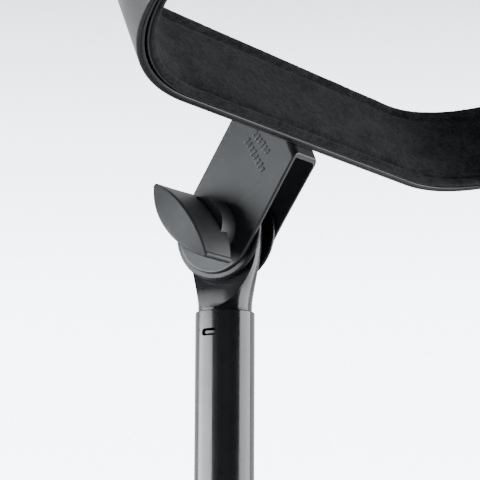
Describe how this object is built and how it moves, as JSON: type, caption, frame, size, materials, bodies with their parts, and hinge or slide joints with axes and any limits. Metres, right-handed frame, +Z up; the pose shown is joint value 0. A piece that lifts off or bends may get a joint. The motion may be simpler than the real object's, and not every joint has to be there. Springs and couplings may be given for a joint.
{
  "type": "music stand",
  "caption": "Floor stand with a felt-lined U-shaped cradle on a tilting bracket, telescoping column and folding three-leg base.",
  "frame": {"origin": "on the floor, at the middle of the whole stand's box; the column's axis stands 70.64 mm from it towards -X", "axes": "+Z up the column; +Y along the tilt bolt, away from the wing knob; +X the way the cradle leans and opens"},
  "size_m": [0.455, 0.5216, 0.8435],
  "materials": {
    "black_steel": "black powder coat, fine satin texture",
    "black_felt": "short black felt pile",
    "grey_steel": "dark grey satin lacquer",
    "black_tube": "smooth dark gloss powder coat",
    "knob_plastic": "finely grained dark grey moulded plastic",
    "black_plastic": "smooth black moulded plastic",
    "cast_hub": "black powder coat on a casting",
    "zinc_screws": "dark zinc plating",
    "brass_thread": "turned brass",
    "nylon_spacers": "natural nylon",
    "rubber_feet": "matt black rubber"
  },
  "bodies": {
    "base": {"outer_tube": "black_tube", "collar_bush": "black_plastic", "clamp_collar": "black_plastic", "clamp_nut": "zinc_screws", "base_hub": "cast_hub", "hub_cap": "black_plastic", "hub_screw": "zinc_screws", "leg_pins": "zinc_screws", "leg_spacers": "nylon_spacers"},
    "clamp_screw": {"clamp_knob": "knob_plastic", "clamp_stud": "zinc_screws"},
    "slide": {"mast_guide": "black_plastic"},
    "mast": {"mast_tube": "black_tube", "tongue_insert": "grey_steel"},
    "head": {"tilt_bracket": "grey_steel", "tilt_bolt": "zinc_screws", "bolt_washer": "zinc_screws", "friction_disc_near": "black_plastic", "friction_disc_far": "black_plastic", "cradle_band": "black_steel", "cradle_felt": "black_felt", "cradle_screws": "zinc_screws", "cradle_nuts": "zinc_screws"},
    "tilt_knob": {"wing_knob": "knob_plastic", "knob_thread": "brass_thread", "knob_washer": "zinc_screws"},
    "leg_a": {"leg_tang_a": "cast_hub", "leg_tube_a": "black_tube", "leg_foot_a": "rubber_feet"},
    "leg_b": {"leg_tang_b": "cast_hub", "leg_tube_b": "black_tube", "leg_foot_b": "rubber_feet"},
    "leg_c": {"leg_tang_c": "cast_hub", "leg_tube_c": "black_tube", "leg_foot_c": "rubber_feet"}
  },
  "joints": [
    {"name": "height_slide", "type": "slide", "parent": "base", "child": "slide", "axis": [0, 0, 1], "range_m": [-0.075, 0.16]},
    {"name": "mast_swivel", "type": "hinge", "parent": "slide", "child": "mast", "pos_m": [-0.07064, 0, 0.257], "axis": [0, 0, 1], "continuous": true},
    {"name": "cradle_tilt", "type": "hinge", "parent": "mast", "child": "head", "pos_m": [-0.07064, 0, 0.72], "axis": [0, 1, 0], "range_deg": [-75, 45]},
    {"name": "tilt_knob_turn", "type": "hinge", "parent": "head", "child": "tilt_knob", "pos_m": [-0.07064, -0.02, 0.72], "axis": [0, 1, 0], "range_deg": [0, 360]},
    {"name": "clamp_knob_turn", "type": "hinge", "parent": "base", "child": "clamp_screw", "pos_m": [-0.09914, -0.02, 0.528], "axis": [0, 1, 0], "range_deg": [0, 360]},
    {"name": "leg_fold_a", "type": "hinge", "parent": "base", "child": "leg_a", "pos_m": [-0.03464, 0, 0.185], "axis": [0, 1, 0], "range_deg": [0, 54]},
    {"name": "leg_fold_b", "type": "hinge", "parent": "base", "child": "leg_b", "pos_m": [-0.08864, 0.03118, 0.185], "axis": [-0.866, -0.5, 0], "range_deg": [0, 54]},
    {"name": "leg_fold_c", "type": "hinge", "parent": "base", "child": "leg_c", "pos_m": [-0.08864, -0.03118, 0.185], "axis": [0.866, -0.5, 0], "range_deg": [0, 54]}
  ]
}
